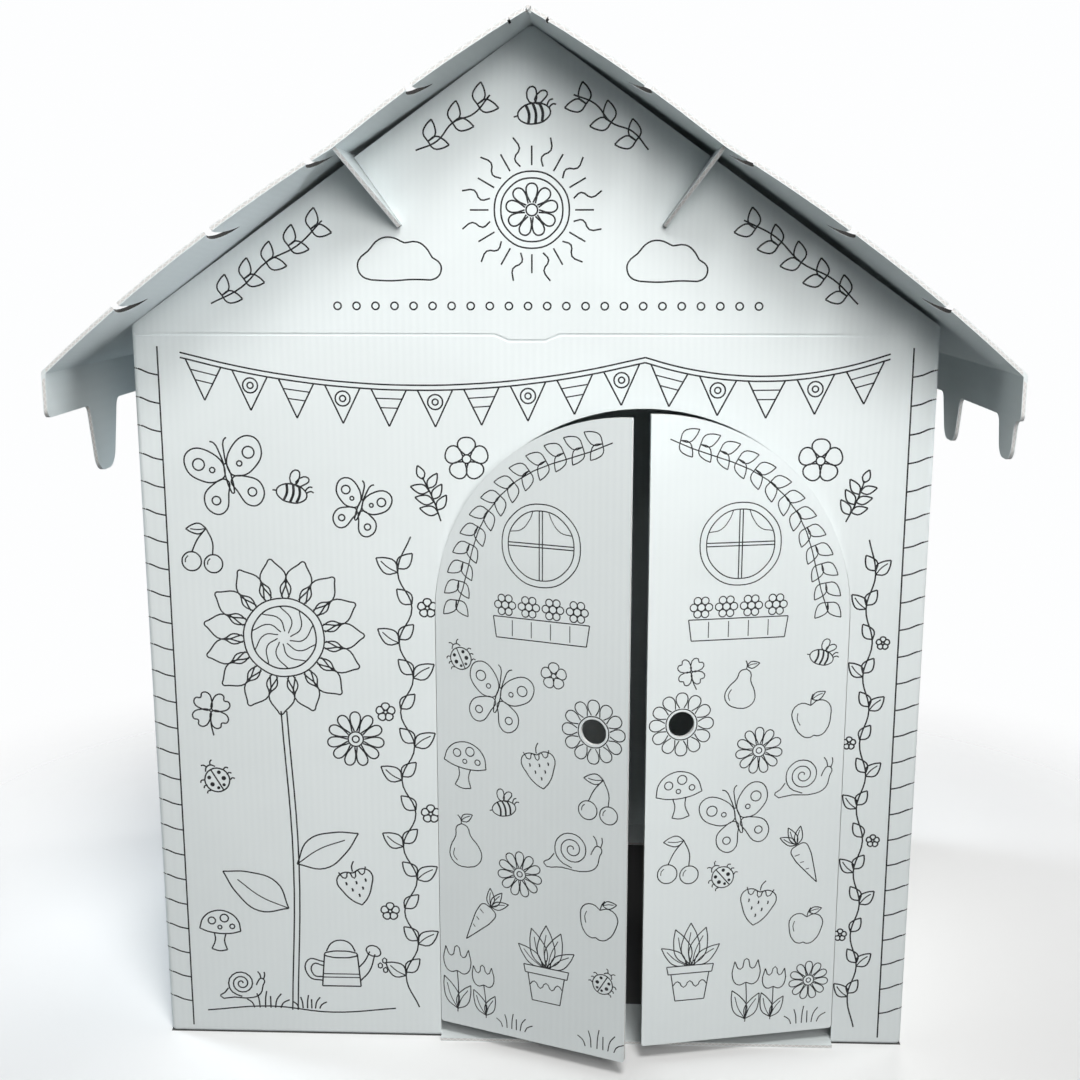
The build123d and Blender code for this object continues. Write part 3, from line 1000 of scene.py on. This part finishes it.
def drawWall(name, layout, right, place, halfWide):
    pen = LinePen(inkLook["wallLine"])
    flat = perMetre * (halfWide - house["foldRadius"])
    for side in (-1, 1):
        stripedPost(pen, side * flat, side)
    for draw, *sizes in layout["lines"]:
        draw(pen, *sizes)
    scatter(pen, layout["figures"])
    panel = panelMatrix(right, (0, 0, 1), place)
    pen.draw(name, panel, "house", "wall_board", foldRound(flat / perMetre))


frontPrint = {
    "lines": [
        (gableLines,), (bunting, (-352, 746), (112, 742), 30, 10), (bunting, (112, 742), (352, 746), 20, 5),
        (vine, -131, 34, 560, 7, 38, 22), (vine, 344, 20, 560, 4, 36, 15), (ground, -358, -150, 26),
        (flowerStem, -264, 28, 372),
    ],
    "figures": gablePrint["figures"] + [
        (sunflower, -258, 452, 84, 8), (butterfly, -308, 620, 40, 14), (bee, -244, 606, 22, -12),
        (butterfly, -176, 588, 29, -20), (daisy, -186, 342, 30), (ladybird, -336, 296, 17, 30),
        (clover, -338, 372, 21, -8), (cherries, -340, 545, 25), (snail, -318, 54, 24),
        (wateringCan, -206, 84, 40), (mushroom, -340, 122, 25, -4), (strawberry, -190, 178, 26, 14),
        (grass, -292, 30, 20), (grass, -246, 30, 16), (blossom, -66, 640, 22),
        (sprig, -104, 604, 30, 22), (blossom, 288, 640, 22), (sprig, 326, 604, 28, -22),
    ],
}

archPrint = {
    "left": (96, 178), "right": (84, 2),  # degrees round the arch
    "inset": 24, "leaves": 13, "lean": 0.085, "leafOut": 14, "bulge": 0.28,
}


def archLeaves(pen, start, end):
    u, v = perMetre * house["doorMiddle"], perMetre * house["archSpring"]
    radius = perMetre * house["archRadius"] - archPrint["inset"]
    pen.arc(u, v, radius, start, end)
    lean = copysign(archPrint["lean"], end - start)
    for i in range(archPrint["leaves"]):
        angle = radians(start + (end - start) * (i + 0.5) / archPrint["leaves"])
        for out in (archPrint["leafOut"], -archPrint["leafOut"]):
            tip = polar(radius + out, angle + lean, u, v)
            pen.leaf(*polar(radius, angle, u, v), *tip, archPrint["bulge"], False)


fingerHole = {
    "height": 375.0, "radius": 13.5, "fromCrease": 175.5, "petals": 12,
    "ring": 2.8, "petalFoot": 4, "petalTip": 20,  # past the hole's edge
}


def fingerFlower(pen, u):
    radius = fingerHole["radius"]
    pen.place(u, fingerHole["height"])
    pen.petals(fingerHole["petals"], radius + fingerHole["petalFoot"], radius + fingerHole["petalTip"])
    pen.arc(0, 0, radius + fingerHole["ring"])
    pen.place()


leftDoorPrint = [
    (roundWindow, 18, 560, 42), (flowerBox, 18, 484, 52), (ladybird, -72, 436, 15, 25),
    (butterfly, -30, 396, 36, -14), (blossom, 32, 428, 14), (strawberry, 16, 330, 25, 12),
    (mushroom, -68, 320, 27, -6), (cherries, 80, 304, 25), (bee, -24, 280, 19, 15),
    (snail, 54, 240, 31), (pear, -70, 232, 29, 8), (daisy, -6, 208, 25), (apple, 82, 172, 25, -8),
    (carrot, -48, 152, 36, -35), (flowerPot, 24, 112, 44), (tulip, -80, 72, 38),
    (tulip, -48, 64, 30, 4), (ladybird, 88, 104, 14, -30), (grass, 84, 28, 22), (grass, -14, 28, 18),
]
rightDoorPrint = [
    (roundWindow, 206, 560, 42), (flowerBox, 206, 484, 52), (bee, 296, 440, 18, -16),
    (pear, 212, 412, 25, -12), (apple, 288, 374, 26, 8), (clover, 158, 430, 15, 6), (daisy, 232, 342, 25),
    (snail, 282, 306, 30), (mushroom, 148, 300, 27, 5), (butterfly, 212, 268, 37, 16),
    (carrot, 284, 222, 35, 28), (cherries, 148, 226, 26), (ladybird, 196, 206, 15, 40),
    (strawberry, 236, 172, 26, -10), (flowerPot, 164, 112, 44), (apple, 290, 140, 23, -6),
    (tulip, 226, 72, 36), (tulip, 256, 66, 30, -4), (daisy, 296, 78, 22), (grass, 292, 28, 20),
]


def drawDoors():
    leaves = (("left", -1, leftHinge, -leftOpen, leftDoorPrint),
              ("right", 1, rightHinge, rightOpen, rightDoorPrint))
    for name, side, hinge, turn, figures in leaves:
        pen = LinePen(inkLook["doorLine"])
        archLeaves(pen, *archPrint[name])
        fingerFlower(pen, perMetre * hinge["pos_m"][0] - side * fingerHole["fromCrease"])
        scatter(pen, figures)
        pen.draw("print_" + name + "_door", leafMatrix(hinge, turn), name + "_leaf", "door_board")


sidePrint = {
    "lines": [(fence, -246, 246, 8, 100), (flowerStem, -173, 112, 308), (flowerStem, 147, 112, 268)],
    "figures": [
        (cloud, -150, 572, 56), (cloud, 122, 570, 50), (butterfly, -20, 500, 42, 12),
        (bee, 196, 470, 24, -10), (sunflower, -170, 380, 76, 5), (sunflower, 150, 330, 66, -8),
        (butterfly, 10, 400, 34, -18), (ladybird, -60, 300, 18, 30), (daisy, 0, 230, 32),
        (cherries, -232, 486, 26), (clover, 232, 400, 22), (strawberry, -22, 590, 24, 10),
        (pear, 226, 545, 28, 8), (tulip, 58, 180, 34), (tulip, -84, 172, 30, 6),
    ],
}

backPrint = {
    "lines": [
        (gableLines,), (fence, -356, 356, 8, 100), (flowerStem, -273, 112, 292), (flowerStem, 265, 112, 268),
    ],
    "figures": gablePrint["figures"] + [
        (appleTree, 0, 382, 262), (butterfly, -290, 600, 46, 12), (butterfly, 286, 560, 40, -16),
        (sunflower, -278, 350, 70, 6), (sunflower, 276, 330, 66, -6), (bee, -215, 680, 22, 10),
        (bee, 220, 690, 22, -14), (ladybird, -120, 200, 18, 20), (daisy, 120, 180, 30),
        (snail, 150, 250, 32), (mushroom, -150, 150, 34),
    ],
}

roofPrint = {
    "firstRow": 74.5, "rowPitch": 56.5, "rows": 9, "tiles": 11, "clear": 34.0, "ridgeLine": 14.0,
    "tileDrop": 40.0,
    "tile": ((0, 1), (0.07, 0.42), (0.26, 0.08), (0.5, 0), (0.74, 0.08), (0.93, 0.42), (1, 1)),
}


def slopeBow(side):
    def bend(point):
        lift = bowTop(-point.y) - settle(-point.y, abs(point.x), side)
        return Vector((point.x, point.y, point.z + lift))

    return bend


def drawRoof():
    half = perMetre * roofHalfLength - roofPrint["clear"]
    wide = 2 * half / roofPrint["tiles"]
    for name, side in bothSides:
        pen = LinePen(inkLook["roofLine"])
        pen.lines([(-half, -roofPrint["ridgeLine"]), (half, -roofPrint["ridgeLine"])])
        for row in range(roofPrint["rows"]):
            low = -(roofPrint["firstRow"] + row * roofPrint["rowPitch"])
            shift = row % 2 * 0.5
            for tile in range(roofPrint["tiles"] - row % 2):
                left = -half + (tile + shift) * wide
                pen.curve([(left + wide * s, low + roofPrint["tileDrop"] * t) for s, t in roofPrint["tile"]])
        panel = panelMatrix((0, side, 0), (-side * pitchCosine, 0, pitchSine), (0, 0, ridgeZ + boardRise))
        pen.draw("print_" + name + "_slope", panel, "house", "roof_board", slopeBow(side))


valancePrint = {"beads": (-352.0, 352.0, 711.0, 18.8, 3.6)}


def drawValances():
    for name, side in bothSides:
        pen = LinePen(inkLook["wallLine"])
        beadRow(pen, *valancePrint["beads"])
        panel = panelMatrix((0, side, 0), (0, 0, 1), (side * eaveReach, 0, 0))
        pen.draw("print_" + name + "_valance", panel, "house", "roof_board")


drawWall("print_front", frontPrint, (1, 0, 0), (0, house["frontY"], 0), house["halfWidth"])
drawDoors()
for sideName, side in bothSides:
    sidePlace = (side * house["halfWidth"], 0, 0)
    drawWall("print_" + sideName + "_wall", sidePrint, (0, side, 0), sidePlace, -house["frontY"])
drawWall("print_back", backPrint, (-1, 0, 0), (0, -house["frontY"], 0), house["halfWidth"])
drawRoof()
drawValances()
print("print drawn on every panel")


# Camera at the photograph's place, for a square frame

cameraSet = {
    "place": (0.0574, -1.6859, 0.8473),
    "down": 11.726,
    "left": 2.029,
    "focalShare": 1.300,  # focal length over the frame's width
    "sensor": 36.0,
}
cameraData = bpy.data.cameras.new("photo camera")
cameraData.sensor_fit = "HORIZONTAL"
cameraData.sensor_width = cameraSet["sensor"]
cameraData.lens = cameraSet["sensor"] * cameraSet["focalShare"]
cameraData.dof.use_dof = False
photoCamera = bpy.data.objects.new("photo camera", cameraData)
photoCamera.location = cameraSet["place"]
photoCamera.rotation_euler = Euler(
    (radians(90 - cameraSet["down"]), 0, radians(cameraSet["left"])), "XYZ")
bpy.context.scene.collection.objects.link(photoCamera)
bpy.context.scene.camera = photoCamera


# Pale floor and soft light, highest in front, a spot under the left eave, weaker lights elsewhere

gable, warm, white = (0.05, -0.29, 0.86), (1.0, 0.99, 0.97), (1.0, 0.99, 0.98)
studioLights = {  # kind, place, aim, size, spread, power and colour
    "high": ("AREA", (0.4, -2.0, 3.3), gable, 1.1, 60.0, 8.8, warm),
    "front": ("AREA", (0.9, -3.0, 2.2), gable, 2.0, 50.0, 8.7, warm),
    "low": ("AREA", (0.6, -3.4, 0.95), gable, 2.5, 40.0, 0.9, white),
    "eave": ("SPOT", (2.2, -0.56, 0.30), (-0.31, -0.335, 0.855), 0.12, 8.0, 115.0, (0.90, 0.95, 1.0)),
    "left": ("AREA", (-3.0, 1.0, 1.8), (-0.4, 0.1, 0.5), 1.4, 50.0, 7.0, (0.86, 0.94, 1.0)),
    "right": ("AREA", (3.0, 1.0, 1.8), (0.4, 0.1, 0.55), 1.2, 36.0, 1.8, warm),
    "back": ("AREA", (0.8, 3.0, 1.5), (0.0, 0.29, 0.75), 1.6, 50.0, 6.0, white),
}
studio = {
    "floorHalf": 6.0,
    "floorCells": 8,
    "floorRoughness": 0.9,
    "floorColour": (0.93, 0.935, 0.94, 1),
    "floorBounce": (0.23, 0.235, 0.24, 1),
    # painted shade: the floor inside the house's footprint is dark, for the shade under the roof
    "floorShadeInside": (0.10, 0.10, 0.10, 1),
    "fadeStart": 0.02, "fadeEnd": 0.75,
    "backdrop": (0.985, 0.99, 0.995, 1),
    "skyColour": (0.86, 0.94, 1.0, 1),
    "skyStrength": 0.03,
}


def softLight(name, kind, place, aim, size, spread, power, colour):
    data = bpy.data.lights.new(name + "Light", kind)
    if kind == "SPOT":
        data.spot_size = radians(spread)
        data.spot_blend = 1.0
        data.shadow_soft_size = size
    else:
        data.shape = "DISK"
        data.size = size
        data.spread = radians(spread)
    data.energy = power
    data.color = colour
    light = bpy.data.objects.new(name + "Light", data)
    light.location = place
    light.rotation_euler = (Vector(aim) - light.location).to_track_quat("-Z", "Y").to_euler()
    light.visible_camera = False
    bpy.context.scene.collection.objects.link(light)


def studioWorld():
    world = bpy.data.worlds.new("studio sky")
    world.use_nodes = True
    nodes, links = world.node_tree.nodes, world.node_tree.links
    sky = nodes["Background"]  # what lights the house
    sky.inputs["Color"].default_value = studio["skyColour"]
    sky.inputs["Strength"].default_value = studio["skyStrength"]
    backdrop = nodes.new("ShaderNodeBackground")  # the pale paper seen behind it
    backdrop.inputs["Color"].default_value = studio["backdrop"]
    blend = nodes.new("ShaderNodeMixShader")
    links.new(nodes.new("ShaderNodeLightPath").outputs["Is Camera Ray"], blend.inputs[0])
    links.new(sky.outputs[0], blend.inputs[1])
    links.new(backdrop.outputs[0], blend.inputs[2])
    links.new(blend.outputs[0], nodes["World Output"].inputs["Surface"])
    return world


def studioFloor():
    bpy.ops.object.select_all(action="DESELECT")
    cells, wide = studio["floorCells"], 2 * studio["floorHalf"]
    bpy.ops.mesh.primitive_grid_add(x_subdivisions=cells, y_subdivisions=cells, size=wide)
    floor = bpy.context.active_object
    floor.name = "studioFloor"
    shader = Shader("studio floor")
    pastX = (abs(shader.x) - house["halfWidth"]).most(0.0)
    pastY = (abs(shader.y) + house["frontY"]).most(0.0)
    away = (pastX * pastX + pastY * pastY).root()
    seen = shader.node("ShaderNodeLightPath")  # pale to look at, but throws little light back
    colour = shader.mix(seen, studio["floorBounce"], studio["floorColour"])
    # painted shade: dark floor colour inside the footprint, where the house's shade falls
    colour = shader.mix(away > 0.0, studio["floorShadeInside"], colour)
    inputs = shader.surface.inputs
    shader.feed(inputs["Base Color"], colour)
    shader.feed(inputs["Roughness"], studio["floorRoughness"])
    shader.feed(inputs["Alpha"], away.ramp(studio["fadeStart"], studio["fadeEnd"], 1.0, 0.0))
    floor.data.materials.append(shader.material)


for lightName, look in studioLights.items():
    softLight(lightName, *look)
bpy.context.scene.world = studioWorld()
bpy.context.scene.view_settings.view_transform = "Standard"
studioFloor()
print("camera, lights and floor placed")
